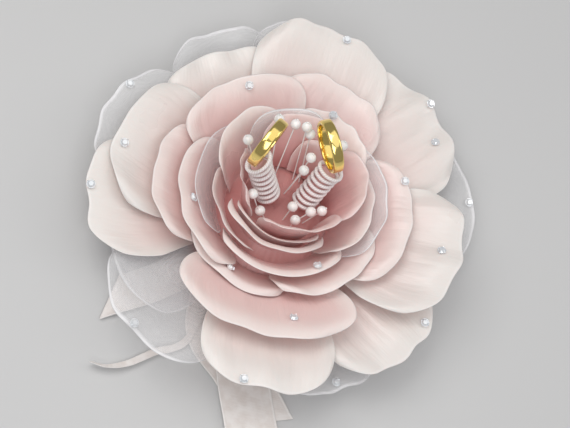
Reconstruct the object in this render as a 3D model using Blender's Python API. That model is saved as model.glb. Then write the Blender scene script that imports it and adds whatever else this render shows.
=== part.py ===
"""Ring bearer pillow made as an open fabric rose, with two wedding rings on coiled holders in its heart.

Units are metres, +Z is up. The origin is the centre of the underside of the felt backing disc.
Each petal is a thin closed patch on one of a nested set of flared sheets, the leaves, that start on the
slope of the base cushion. Level 0 is the lowest and outermost leaf, and the last level lines the heart.
"""

import math

import bmesh
import bpy
from mathutils import Matrix, Vector

MM = 0.001
CLEARANCE = 0.3 * MM

# Felt disc and padded base that carry everything
DISC_RADIUS = 36.0 * MM
DISC_THICKNESS = 2.5 * MM
CUSHION_TOP_RADIUS = 14.5 * MM
CUSHION_EDGE_RADIUS = 35.5 * MM
CUSHION_EDGE_HEIGHT = 2.2 * MM
CUSHION_HEIGHT = 17.2 * MM
ROUND_SEGMENTS = 48
FELT_EDGE = 0.5 * MM

# Petal sheets
LAST_LEVEL = 14
PETAL_THICKNESS = 0.5 * MM
OUTER_START_PITCH = math.radians(20.0)
HEART_START_PITCH = math.radians(84.0)
OUTER_END_PITCH = math.radians(-6.0)
HEART_END_PITCH = math.radians(44.0)
OUTER_BEND_LENGTH = 60.0 * MM
HEART_BEND_LENGTH = 30.0 * MM
PROFILE_STEP = 0.25 * MM
LEAN = (5.5 * MM, 7.5 * MM)
LEAN_RISE = 26.0 * MM
PETAL_COLUMNS = 8
PETAL_ROWS = 5
PETAL_NECK = 0.85
PETAL_FULLNESS = 3.0
SQUARE_FULLNESS = 5.5
SQUARE_PETALS = ("satin_outer_top_left", "satin_mid_bottom", "satin_mid_upper_left")
FRONT_LIFT = math.radians(24.0)
FRONT_AZIMUTH = math.radians(-95.0)

# Wedding rings
RING_OUTER_RADIUS = 10.5 * MM
RING_INNER_RADIUS = 8.8 * MM
RING_WIDTH = 4.3 * MM
RING_EDGE = 0.5 * MM
RING_FLAT = 0.4
RING_SEGMENTS = 24

# Coiled ring holders
CORD_RADIUS = 0.75 * MM
COIL_RADIUS = 4.4 * MM
COIL_TURNS = 8
COIL_STEPS_PER_TURN = 12
COIL_SIDES = 5
MOUTH_START = 0.8
MOUTH_STRETCH = 1.3
CORE_TOP_DROP = 3.2 * MM
CORE_EDGE = 0.6 * MM
CORE_SEGMENTS = 16

# Stamens
PEARL_RADIUS = 2.1 * MM
WIRE_RADIUS = 0.3 * MM
PEARL_SIDES = 8
PEARL_ROWS = 6
STAMEN_LIFT = 0.5 * MM

# Ribbon
RIBBON_THICKNESS = 0.4 * MM
WIDE_RIBBON = 21.0 * MM
NARROW_RIBBON = 3.0 * MM
RIBBON_STEPS = 4

# name, fabric, level, middle azimuth, half span, reach from the axis (mm)
PETALS = (
    ("organza_outer_top_left", "organza", 0, 101, 27, 83),
    ("organza_outer_left", "organza", 0, -160, 30, 68),
    ("organza_outer_bottom_right", "organza", 0, -71, 26, 76),
    ("organza_outer_right", "organza", 0, 9, 27, 88),
    ("organza_outer_upper_left", "organza", 1, 147, 28, 79),
    ("organza_outer_top", "organza", 1, 80, 19, 84),
    ("organza_outer_lower_left", "organza", 1, -139, 29, 79),
    ("satin_outer_left", "satin_pale", 2, 179, 27, 77),
    ("satin_outer_top_left", "satin_pale", 2, 109, 27, 69),
    ("satin_outer_upper_right", "satin_pale", 2, 33, 30, 82),
    ("satin_outer_bottom_right", "satin_pale", 2, -51, 27, 78),
    ("satin_outer_upper_left", "satin_pale", 3, 156, 34, 70),
    ("satin_outer_top", "satin_pale", 3, 71, 30, 80),
    ("satin_outer_bottom", "satin_pale", 3, -98, 28, 79),
    ("satin_outer_lower_right", "satin_pale", 4, -21, 32, 74),
    ("satin_mid_bottom", "satin_pink", 5, -103, 45, 59),
    ("satin_mid_left", "satin_pink", 5, 171, 37, 53),
    ("satin_mid_top", "satin_pink", 5, 61, 34, 56),
    ("satin_mid_upper_left", "satin_pink", 6, 112, 38, 51),
    ("satin_mid_lower_left", "satin_pink", 6, -129, 44, 40),
    ("satin_mid_right", "satin_pink", 6, -12, 43, 51),
    ("satin_mid_lower_right", "satin_pink", 7, -57, 46, 41),
    ("satin_inner_far_left", "satin_pink", 7, -176, 51, 43),
    ("organza_collar_left", "organza", 8, 160, 50, 37),
    ("organza_collar_right", "organza", 8, 0, 48, 40),
    ("satin_inner_front_low", "satin_pink", 9, -96, 60, 33),
    ("satin_inner_front", "satin_pink", 12, -112, 68, 24),
    ("satin_inner_right", "satin_pink", 10, -15, 46, 33),
    ("satin_inner_left", "satin_pink", 10, -165, 46, 30),
    ("satin_inner_back_left", "satin_pink", 11, 130, 42, 34),
    ("satin_inner_back_right", "satin_pink", 12, 50, 48, 32),
    ("satin_inner_front_high", "satin_pink", 13, -112, 64, 21.5),
    ("organza_heart_back", "organza", 13, 95, 48, 29),
    ("satin_heart_right", "satin_deep", 13, 2, 43, 27),
    ("satin_heart_back", "satin_deep", 14, 80, 51, 26),
    ("satin_heart_left", "satin_deep", 14, 175, 40, 23),
    ("satin_heart_front", "satin_deep", 14, -84, 56, 21.5),
    ("satin_heart_fold", "satin_deep", 15, 48, 36, 20),
)

# name, foot on the holder's axis, outermost point of the mouth with its height counted from the cushion's top,
# ring plane normal, way from the mouth to the ring's centre, and how far the ring stands out of the mouth (mm)
HOLDERS = (
    ("left", (-3.2, 2.2), (-17.2, 12.9, 22.3), (0.789, -0.615, 0.0), (1.0, 2.2, 11.0), 2.5),
    ("right", (8.5, 0.5), (19.2, 12.0, 22.3), (0.954, 0.244, 0.186), (-3.6, 4.6, 9.8), 2.3),
)

# name, foot, pearl centre with its height counted from the cushion's top (mm)
STAMENS = (
    ("back_left", (-7.5, 9.5), (-17.3, 18.0, 23.0)),
    ("back", (-3.5, 11.5), (-5.0, 26.5, 25.0)),
    ("back_middle", (9.0, 11.0), (7.8, 22.0, 23.0)),
    ("back_right", (12.5, 7.5), (20.0, 17.2, 25.0)),
    ("left", (-8.0, -3.5), (-13.6, -0.1, 13.0)),
    ("front_left", (-5.5, -6.0), (-9.4, -4.6, 7.0)),
    ("front_middle", (1.5, -5.5), (3.6, -2.6, 8.0)),
    ("front", (4.0, -9.0), (4.8, -7.6, 6.5)),
    ("front_right", (9.5, -6.5), (15.3, -4.0, 8.5)),
)

# name, width, height of the underside, azimuth where it leaves the disc, route counted from there,
# slant of the cut end (mm)
RIBBONS = (
    ("ribbon_tail_long", WIDE_RIBBON / MM, 1.4, -100, ((-6.2, -22.2), (-3.7, -49.2), (-0.2, -80.2)), 6),
    ("ribbon_tail_under", WIDE_RIBBON / MM, 0.3, -125, ((-3.2, -16.3), (6.8, -32.3), (17.3, -52.3)), 4),
    ("ribbon_tail_left", 15, 0.8, -149, ((-14.9, -8.3), (-33.3, -14.9)), 7),
    ("ribbon_tail_narrow", NARROW_RIBBON / MM, 1.3, -131,
     ((-10.2, -22.6), (-23.4, -28.0), (-33.9, -32.8), (-42.0, -34.1), (-48.2, -32.6)), 1),
)

# name: colour, roughness, metallic
MATERIALS = {
    "felt": ((0.80, 0.74, 0.74), 0.95, 0.0),
    "satin_pale": ((0.80, 0.70, 0.68), 0.40, 0.0),
    "satin_pink": ((0.78, 0.55, 0.54), 0.40, 0.0),
    "satin_deep": ((0.58, 0.28, 0.30), 0.45, 0.0),
    "organza": ((0.72, 0.74, 0.76), 0.30, 0.0),
    "white_cord": ((0.90, 0.86, 0.86), 0.50, 0.0),
    "gold": ((0.95, 0.70, 0.22), 0.18, 1.0),
    "pearl": ((0.92, 0.88, 0.86), 0.22, 0.0),
    "ribbon": ((0.82, 0.78, 0.76), 0.38, 0.0),
}


def clear_scene():
    """Remove every object that the file starts with."""
    for old in list(bpy.data.objects):
        bpy.data.objects.remove(old)


def make_material(name):
    """Return the named material, made from its row in MATERIALS."""
    if name in bpy.data.materials:
        return bpy.data.materials[name]
    colour, roughness, metallic = MATERIALS[name]
    material = bpy.data.materials.new(name)
    material.use_nodes = True
    shader = material.node_tree.nodes["Principled BSDF"]
    shader.inputs["Base Color"].default_value = (*colour, 1.0)
    shader.inputs["Roughness"].default_value = roughness
    shader.inputs["Metallic"].default_value = metallic
    return material


def add_object(name, shape, material, sharp_angle=40.0, location=(0.0, 0.0, 0.0)):
    """Turn a bmesh into a named object, with its faces pointing out."""
    bmesh.ops.recalc_face_normals(shape, faces=shape.faces)
    mesh = bpy.data.meshes.new(name)
    shape.to_mesh(mesh)
    shape.free()
    mesh.shade_smooth()
    mesh.set_sharp_from_angle(angle=math.radians(sharp_angle))
    mesh.materials.append(make_material(material))
    piece = bpy.data.objects.new(name, mesh)
    piece.location = location
    bpy.context.collection.objects.link(piece)
    return piece


def revolve(outline, segments, axis=Vector((0.0, 0.0, 1.0)), foot=Vector((0.0, 0.0, 0.0))):
    """Turn (radius, height) points, which start and end at radius 0, about an axis through foot."""
    shape = bmesh.new()
    points = [shape.verts.new((radius, 0.0, height)) for radius, height in outline]
    edges = [shape.edges.new(pair) for pair in zip(points, points[1:])]
    bmesh.ops.spin(shape, geom=points + edges, cent=(0, 0, 0), axis=(0, 0, 1), angle=math.tau,
                   steps=segments, use_merge=True, use_duplicate=False)
    bmesh.ops.remove_doubles(shape, verts=shape.verts, dist=0.01 * MM)
    turn = Vector((0.0, 0.0, 1.0)).rotation_difference(axis).to_matrix().to_4x4()
    shape.transform(Matrix.Translation(foot) @ turn)
    return shape


def skin_loops(shape, loops):
    """Join rings of vertices into a closed tube with flat ends."""
    sides = len(loops[0])
    for low, high in zip(loops, loops[1:]):
        for side in range(sides):
            after = (side + 1) % sides
            shape.faces.new((low[side], low[after], high[after], high[side]))
    shape.faces.new(loops[0])
    shape.faces.new(loops[-1])


def lean_shift(height):
    """Return how far the rose leans sideways at a height: nothing at its base, more towards its rim."""
    share = (height / (cushion_top() + LEAN_RISE)) ** 2
    return Vector((LEAN[0] * share, LEAN[1] * share, 0.0))


def cushion_top():
    """Return the height of the cushion's flat top, on which the holders and stamens stand."""
    return DISC_THICKNESS + CLEARANCE + CUSHION_HEIGHT


def slope_point(share):
    """Return a (radius, height) point on the cushion's slope, from its edge at 0 to its top at 1."""
    low = DISC_THICKNESS + CLEARANCE + CUSHION_EDGE_HEIGHT
    radius = CUSHION_EDGE_RADIUS + share * (CUSHION_TOP_RADIUS - CUSHION_EDGE_RADIUS)
    return radius, low + share * (cushion_top() - low)


def leaf_profile(level, azimuth, reach=None, length=None):
    """Return the (radius, height, pitch) points of a leaf at an azimuth, out to a reach or a length."""
    share = level / LAST_LEVEL
    front = 0.5 + 0.5 * math.cos(azimuth - FRONT_AZIMUTH)
    start_pitch = OUTER_START_PITCH + (HEART_START_PITCH - OUTER_START_PITCH) * share ** 0.8
    end_pitch = OUTER_END_PITCH + (HEART_END_PITCH - OUTER_END_PITCH) * share + FRONT_LIFT * front * share ** 2
    bend = OUTER_BEND_LENGTH + (HEART_BEND_LENGTH - OUTER_BEND_LENGTH) * share
    radius, height = slope_point(0.04 + 0.90 * share)
    slope = math.atan2(cushion_top() - DISC_THICKNESS - CLEARANCE - CUSHION_EDGE_HEIGHT,
                       CUSHION_EDGE_RADIUS - CUSHION_TOP_RADIUS)
    stand_off = CLEARANCE + 0.5 * PETAL_THICKNESS
    radius += stand_off * math.sin(slope)
    height += stand_off * math.cos(slope)
    points = []
    while radius < reach if reach else len(points) * PROFILE_STEP < length:
        travelled = len(points) * PROFILE_STEP
        pitch = end_pitch + (start_pitch - end_pitch) * math.exp(-2.0 * travelled / bend)
        points.append((radius, height, pitch))
        radius += PROFILE_STEP * math.cos(pitch)
        height += PROFILE_STEP * math.sin(pitch)
    return points


def petal_outline(across, along, fullness):
    """Map a unit square to a petal: across runs from -1 to 1, along from 0 at the base to 1 at the tip.

    The square becomes half a disc with a narrower neck at the base, fuller at its corners as fullness grows.
    """
    side = across * math.sqrt(1.0 - 0.5 * along * along)
    tip = along * math.sqrt(1.0 - 0.5 * across * across)
    plain = math.hypot(side, tip)
    if plain > 0.0:
        fuller = (abs(side) ** fullness + abs(tip) ** fullness) ** (1.0 / fullness)
        side *= plain / fuller
        tip *= plain / fuller
    neck = PETAL_NECK + (1.0 - PETAL_NECK) * min(1.0, tip / 0.45)
    return side * neck, tip


def leaf_point(profile, azimuth, tip, offset):
    """Return the point of a leaf at an azimuth and a share of its length, offset along its normal."""
    place = min(max(tip, 0.0), 1.0) * (len(profile) - 1)
    index = min(int(place), len(profile) - 2)
    blend = place - index
    radius, height, pitch = (a + blend * (b - a) for a, b in zip(profile[index], profile[index + 1]))
    radius -= offset * math.sin(pitch)
    height += offset * math.cos(pitch)
    flat = Vector((radius * math.cos(azimuth), radius * math.sin(azimuth), height))
    return flat + lean_shift(height)


def make_petal(name, fabric, level, azimuth, half_span, reach):
    """Make one petal: a thin closed patch of its leaf, with rounded tip and sides."""
    middle = math.radians(azimuth)
    width = math.radians(half_span)
    length = PROFILE_STEP * len(leaf_profile(level, middle, reach=reach * MM))
    fullness = SQUARE_FULLNESS if name in SQUARE_PETALS else PETAL_FULLNESS
    shape = bmesh.new()
    sides = []
    for offset in (0.5 * PETAL_THICKNESS, -0.5 * PETAL_THICKNESS):
        grid = bmesh.ops.create_grid(shape, x_segments=PETAL_COLUMNS, y_segments=PETAL_ROWS, size=1.0)
        for vert in grid["verts"]:
            side, tip = petal_outline(vert.co.x, 0.5 * (vert.co.y + 1.0), fullness)
            place = middle + width * side
            vert.co = leaf_point(leaf_profile(level, place, length=length), place, tip, offset)
        sides.append(grid["verts"])
    rims = []
    for verts in sides:
        faces = {face for vert in verts for face in vert.link_faces}
        rims += [edge for face in faces for edge in face.edges if edge.is_boundary]
    bmesh.ops.bridge_loops(shape, edges=rims)
    return add_object(name, shape, fabric)


def make_backing_disc():
    """Make the felt disc that the object rests on."""
    outline = ((0, 0), (DISC_RADIUS - FELT_EDGE, 0), (DISC_RADIUS, FELT_EDGE),
               (DISC_RADIUS, DISC_THICKNESS - FELT_EDGE), (DISC_RADIUS - FELT_EDGE, DISC_THICKNESS),
               (0, DISC_THICKNESS))
    add_object("backing_disc", revolve(outline, ROUND_SEGMENTS), "felt")


def make_base_cushion():
    """Make the padded base: a flat-topped mound whose slope carries the petals."""
    bottom = DISC_THICKNESS + CLEARANCE
    outline = ((0, bottom), (CUSHION_EDGE_RADIUS - MM, bottom), slope_point(0.0), slope_point(0.5),
               slope_point(1.0), (0, cushion_top()))
    shape = revolve(outline, ROUND_SEGMENTS)
    for vert in shape.verts:
        vert.co += lean_shift(vert.co.z)
    add_object("base_cushion", shape, "satin_pink")


def holder_frame(foot, mouth, normal):
    """Return a holder's foot, axis, length, and the directions along and across its ring's plane."""
    base = Vector((*foot, 0.0)) * MM + Vector((0.0, 0.0, cushion_top() + CLEARANCE))
    lean = Vector((mouth[0] - foot[0], mouth[1] - foot[1], 0.0)).normalized()
    top = Vector(mouth) * MM + Vector((0.0, 0.0, cushion_top())) - lean * COIL_RADIUS
    axis = (top - base).normalized()
    along = axis.cross(Vector(normal)).normalized()
    return base, axis, (top - base).length, along, axis.cross(along)


def make_holder_core(name, foot, mouth, normal):
    """Make the satin-covered stem inside a coil."""
    base, axis, length, _, _ = holder_frame(foot, mouth, normal)
    radius = COIL_RADIUS - CORD_RADIUS - CLEARANCE
    lift = radius * math.sqrt(1.0 - axis.z ** 2) / axis.z
    top = length - CORE_TOP_DROP
    outline = ((0, lift), (radius - CORE_EDGE, lift), (radius, lift + CORE_EDGE), (radius, top - CORE_EDGE),
               (radius - CORE_EDGE, top), (0, top))
    add_object(f"{name}_holder_core", revolve(outline, CORE_SEGMENTS, axis, base), "satin_deep")


def coil_point(step, frame):
    """Return a point of the coil's centre line, and the way it lies from the stem."""
    base, axis, length, along, across = frame
    share = step / (COIL_TURNS * COIL_STEPS_PER_TURN)
    lift = COIL_RADIUS * math.sqrt(1.0 - axis.z ** 2) / axis.z + CORD_RADIUS
    angle = math.tau * step / COIL_STEPS_PER_TURN
    opening = max(0.0, (share - MOUTH_START) / (1.0 - MOUTH_START))
    stretch = 1.0 + (MOUTH_STRETCH - 1.0) * opening
    height = lift + (length - lift) * share
    outward = along * math.cos(angle) + across * math.sin(angle)
    widened = along * (COIL_RADIUS * stretch * math.cos(angle)) + across * (COIL_RADIUS * math.sin(angle))
    return base + axis * height + widened, outward


def make_holder_coil(name, foot, mouth, normal):
    """Make the white cord wound in an open coil round a stem, its last turns widened for the ring."""
    frame = holder_frame(foot, mouth, normal)
    steps = COIL_TURNS * COIL_STEPS_PER_TURN
    points = [coil_point(step, frame) for step in range(steps + 1)]
    shape = bmesh.new()
    loops = []
    for index, (centre, outward) in enumerate(points):
        ahead = (points[min(index + 1, steps)][0] - points[max(index - 1, 0)][0]).normalized()
        first = (outward - ahead * outward.dot(ahead)).normalized()
        second = ahead.cross(first)
        loop = []
        for side in range(COIL_SIDES):
            spoke = math.tau * side / COIL_SIDES
            around = first * math.cos(spoke) + second * math.sin(spoke)
            loop.append(shape.verts.new(centre + CORD_RADIUS * around))
        loops.append(loop)
    skin_loops(shape, loops)
    add_object(f"{name}_holder_coil", shape, "white_cord")


def ring_centre(foot, mouth, normal, way, stand_out):
    """Return a ring's centre: the ring sinks between the sides of the coil's widened mouth."""
    base, axis, length, _, _ = holder_frame(foot, mouth, normal)
    sunk = math.sqrt(RING_OUTER_RADIUS ** 2 - (COIL_RADIUS * MOUTH_STRETCH - CORD_RADIUS) ** 2)
    return base + axis * length + Vector(way).normalized() * (sunk + stand_out * MM)


def make_ring(name, normal, centre):
    """Make a plain wedding band, its outside domed, about its own origin."""
    half = 0.5 * RING_WIDTH
    dome = RING_OUTER_RADIUS - RING_EDGE
    outline = ((RING_INNER_RADIUS, -half), (dome, -half), (RING_OUTER_RADIUS, -RING_FLAT * half),
               (RING_OUTER_RADIUS, RING_FLAT * half), (dome, half), (RING_INNER_RADIUS, half))
    shape = bmesh.new()
    points = [shape.verts.new((radius, 0.0, height)) for radius, height in outline]
    edges = [shape.edges.new((points[i], points[(i + 1) % len(points)])) for i in range(len(points))]
    bmesh.ops.spin(shape, geom=points + edges, cent=(0, 0, 0), axis=(0, 0, 1), angle=math.tau,
                   steps=RING_SEGMENTS, use_merge=True, use_duplicate=False)
    bmesh.ops.remove_doubles(shape, verts=shape.verts, dist=0.01 * MM)
    turn = Vector((0.0, 0.0, 1.0)).rotation_difference(Vector(normal).normalized())
    shape.transform(turn.to_matrix().to_4x4())
    add_object(f"{name}_ring", shape, "gold", location=centre)


def make_stamen(name, foot, tip):
    """Make one stamen: a wire from the cushion's top with a pearl on its end."""
    base = Vector((*foot, 0.0)) * MM + Vector((0.0, 0.0, cushion_top() + STAMEN_LIFT))
    pearl = Vector(tip) * MM + Vector((0.0, 0.0, cushion_top()))
    axis = (pearl - base).normalized()
    length = (pearl - base).length
    outline = [(0.0, 0.0), (WIRE_RADIUS, 0.0)]
    start = math.asin(WIRE_RADIUS / PEARL_RADIUS)
    for row in range(PEARL_ROWS):
        angle = start + (math.pi - start) * row / (PEARL_ROWS - 1)
        outline.append((PEARL_RADIUS * math.sin(angle), length - PEARL_RADIUS * math.cos(angle)))
    outline[-1] = (0.0, length + PEARL_RADIUS)
    add_object(f"stamen_{name}", revolve(outline, PEARL_SIDES, axis, base), "pearl", sharp_angle=60.0)


def smooth_point(guide, place):
    """Return a point of the smooth curve through the guide's points; place 1.5 is halfway after point 1."""
    index = min(int(place), len(guide) - 2)
    blend = place - index
    before, start = guide[max(index - 1, 0)], guide[index]
    end, after = guide[index + 1], guide[min(index + 2, len(guide) - 1)]
    return 0.5 * (2 * start + (end - before) * blend + (2 * before - 5 * start + 4 * end - after) * blend ** 2
                  + (3 * start - before - 3 * end + after) * blend ** 3)


def make_ribbon(name, width, underside, azimuth, route, slant):
    """Make a ribbon tail that leaves the disc's rim and lies along a route, its free end cut at a slant."""
    outward = Vector((math.cos(math.radians(azimuth)), math.sin(math.radians(azimuth)), 0.0))
    start = outward * (DISC_RADIUS + CLEARANCE) + Vector((0.0, 0.0, underside * MM))
    guide = [start] + [start + Vector((x, y, 0.0)) * MM for x, y in route]
    steps = RIBBON_STEPS * (len(guide) - 1)
    centres = [smooth_point(guide, step / RIBBON_STEPS) for step in range(steps + 1)]
    shape = bmesh.new()
    loops = []
    for index, centre in enumerate(centres):
        ahead = (centres[min(index + 1, steps)] - centres[max(index - 1, 0)]).normalized() if index else outward
        side = Vector((-ahead.y, ahead.x, 0.0)) * (0.5 * width * MM)
        cut = ahead * (slant * MM if index == steps else 0.0)
        up = Vector((0.0, 0.0, RIBBON_THICKNESS))
        corners = (centre - side - cut, centre + side + cut, centre + side + cut + up, centre - side - cut + up)
        loops.append([shape.verts.new(corner) for corner in corners])
    skin_loops(shape, loops)
    add_object(name, shape, "ribbon")


def main():
    """Build the whole ring bearer pillow."""
    clear_scene()
    make_backing_disc()
    make_base_cushion()
    for petal in PETALS:
        make_petal(*petal)
    for name, foot, mouth, normal, way, stand_out in HOLDERS:
        make_holder_core(name, foot, mouth, normal)
        make_holder_coil(name, foot, mouth, normal)
        make_ring(name, normal, ring_centre(foot, mouth, normal, way, stand_out))
    for stamen in STAMENS:
        make_stamen(*stamen)
    for ribbon in RIBBONS:
        make_ribbon(*ribbon)


main()
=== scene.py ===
"""Looks of a ring bearer pillow: an open fabric rose with two wedding rings on coiled holders in its heart.

Units are metres, +Z is up. The origin is the centre of the underside of the felt backing disc.
"""

import logging
import math
import random
from dataclasses import dataclass, field, replace
from enum import Enum
from typing import Callable, Protocol, Sequence

import bmesh
import bpy
import numpy as np
from mathutils import Matrix, Vector


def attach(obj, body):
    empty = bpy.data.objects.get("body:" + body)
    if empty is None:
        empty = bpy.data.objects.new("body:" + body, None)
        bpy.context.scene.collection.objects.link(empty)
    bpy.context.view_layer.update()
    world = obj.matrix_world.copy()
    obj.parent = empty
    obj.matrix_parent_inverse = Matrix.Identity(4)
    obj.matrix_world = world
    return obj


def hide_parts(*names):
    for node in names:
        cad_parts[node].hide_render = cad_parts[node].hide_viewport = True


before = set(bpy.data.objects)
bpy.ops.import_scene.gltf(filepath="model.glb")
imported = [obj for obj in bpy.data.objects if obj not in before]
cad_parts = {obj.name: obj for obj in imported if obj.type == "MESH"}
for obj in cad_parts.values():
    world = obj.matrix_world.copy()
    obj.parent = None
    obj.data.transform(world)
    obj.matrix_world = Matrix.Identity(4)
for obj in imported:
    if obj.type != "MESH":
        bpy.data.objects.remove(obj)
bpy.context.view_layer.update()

MM = 0.001
FLOWER = "flower"
CLEARANCE = 0.3 * MM
UP = Vector((0.0, 0.0, 1.0))
SURFACE_UV = "surface"
CLOTH_UV = "cloth"
log = logging.getLogger("ring_pillow")


# ---------------------------------------------------------------- shader helpers


class Value:
    """A number that varies over a surface: one shader socket with Python's arithmetic."""

    def __init__(self, tree: "ShaderTree", socket: bpy.types.NodeSocket) -> None:
        """Wrap a socket of a tree."""
        self.tree = tree
        self.socket = socket

    def _math(self, operation: str, *others: "Value | float", first: bool = True) -> "Value":
        """Add a Math node.

        Args:
            operation: The Math node's operation.
            others: Its further inputs.
            first: Whether this value is the first input; otherwise it is the last.

        Returns:
            The node's result.
        """
        inputs = (self, *others) if first else (*others, self)
        node = self.tree.node("ShaderNodeMath", {"operation": operation}, dict(enumerate(inputs)))
        return Value(self.tree, node.outputs[0])

    def __add__(self, other: "Value | float") -> "Value":
        """Return self + other."""
        return self._math("ADD", other)

    __radd__ = __add__

    def __sub__(self, other: "Value | float") -> "Value":
        """Return self - other."""
        return self._math("SUBTRACT", other)

    def __rsub__(self, other: "Value | float") -> "Value":
        """Return other - self."""
        return self._math("SUBTRACT", other, first=False)

    def __mul__(self, other: "Value | float") -> "Value":
        """Return self * other."""
        return self._math("MULTIPLY", other)

    __rmul__ = __mul__

    def __pow__(self, other: "Value | float") -> "Value":
        """Return self ** other."""
        return self._math("POWER", other)

    def sine(self) -> "Value":
        """Return the sine."""
        return self._math("SINE")

    def size(self) -> "Value":
        """Return the absolute value."""
        return self._math("ABSOLUTE")

    def larger(self, other: "Value | float") -> "Value":
        """Return the larger of two values."""
        return self._math("MAXIMUM", other)

    def ramp(self, low: float, high: float) -> "Value":
        """Make a smooth step from 0 below low to 1 above high.

        Args:
            low: Where the step starts.
            high: Where it ends.

        Returns:
            The stepped value.
        """
        node = self.tree.node("ShaderNodeMapRange", {"interpolation_type": "SMOOTHSTEP"},
                              {"Value": self, "From Min": low, "From Max": high})
        return Value(self.tree, node.outputs["Result"])


class ShaderTree:
    """The node tree of one material, round a Principled shader."""

    def __init__(self, name: str) -> None:
        """Make a material of that name with an empty Principled shader.

        Args:
            name: The material's name.
        """
        self.material = bpy.data.materials.new(name)
        self.material.use_nodes = True
        self.nodes = self.material.node_tree.nodes
        self.links = self.material.node_tree.links
        self.shader = self.nodes["Principled BSDF"]

    def node(self, kind: str, settings: dict[str, object], inputs: dict[object, object]) -> bpy.types.Node:
        """Add any node.

        Args:
            kind: The node's type name.
            settings: Its own properties, set first.
            inputs: Values, colours, sockets or Values by input name or number.

        Returns:
            The node.
        """
        made = self.nodes.new(kind)
        for name, setting in settings.items():
            setattr(made, name, setting)
        for name, given in inputs.items():
            self.feed(made.inputs[name], given)
        return made

    def feed(self, socket: bpy.types.NodeSocket, given: object) -> None:
        """Give an input socket a constant, or link a socket or a Value to it.

        Args:
            socket: The input.
            given: A constant, a socket or a Value.
        """
        if isinstance(given, Value):
            self.links.new(given.socket, socket)
        elif isinstance(given, bpy.types.NodeSocket):
            self.links.new(given, socket)
        else:
            socket.default_value = given

    def shade(self, **inputs: object) -> None:
        """Feed the Principled shader; an underscore in a name stands for a space."""
        for name, given in inputs.items():
            self.feed(self.shader.inputs[name.replace("_", " ")], given)

    def uv(self, layer: str) -> tuple[Value, Value, bpy.types.NodeSocket]:
        """Read a UV layer.

        Args:
            layer: The UV layer's name.

        Returns:
            Its two coordinates, and the pair as a vector socket.
        """
        source = self.node("ShaderNodeUVMap", {"uv_map": layer}, {})
        split = self.node("ShaderNodeSeparateXYZ", {}, {"Vector": source.outputs["UV"]})
        return Value(self, split.outputs["X"]), Value(self, split.outputs["Y"]), source.outputs["UV"]

    def noise(self, scale: float, detail: float = 2.0, where: bpy.types.NodeSocket | None = None,
              stretch: tuple[float, float, float] = (1.0, 1.0, 1.0)) -> Value:
        """Make cloudy noise from 0 to 1.

        Args:
            scale: How many clouds there are in one unit of the coordinates.
            detail: How many finer octaves are added.
            where: The coordinates, or None for Object coordinates.
            stretch: How much each axis is scaled first.

        Returns:
            The noise.
        """
        if where is None:
            where = self.node("ShaderNodeTexCoord", {}, {}).outputs["Object"]
        place = self.node("ShaderNodeMapping", {}, {"Vector": where, "Scale": stretch})
        made = self.node("ShaderNodeTexNoise", {},
                         {"Vector": place.outputs[0], "Scale": scale, "Detail": detail})
        return Value(self, made.outputs["Fac"])

    def blend(self, share: Value | float, first: object, second: object) -> bpy.types.NodeSocket:
        """Go from one colour to another as a share goes from 0 to 1.

        Args:
            share: Where the colour lies between the two.
            first: The colour at 0, or its socket.
            second: The colour at 1, or its socket.

        Returns:
            The blended colour's socket.
        """
        made = self.node("ShaderNodeMix", {"data_type": "RGBA"}, {"Factor": share})
        for name, given in (("A", first), ("B", second)):
            socket = [s for s in made.inputs if s.name == name and s.type == "RGBA"][0]
            self.feed(socket, given)
        return [s for s in made.outputs if s.type == "RGBA"][0]

    def bump(self, height: Value, depth: float, strength: float = 1.0) -> None:
        """Feed a Bump node of that depth in metres into the shader's normal."""
        made = self.node("ShaderNodeBump", {}, {"Height": height, "Distance": depth, "Strength": strength})
        self.feed(self.shader.inputs["Normal"], made.outputs["Normal"])


def rgb(red: float, green: float, blue: float) -> tuple[float, float, float, float]:
    """Return an opaque colour."""
    return red, green, blue, 1.0


# ---------------------------------------------------------------- finishes


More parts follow.
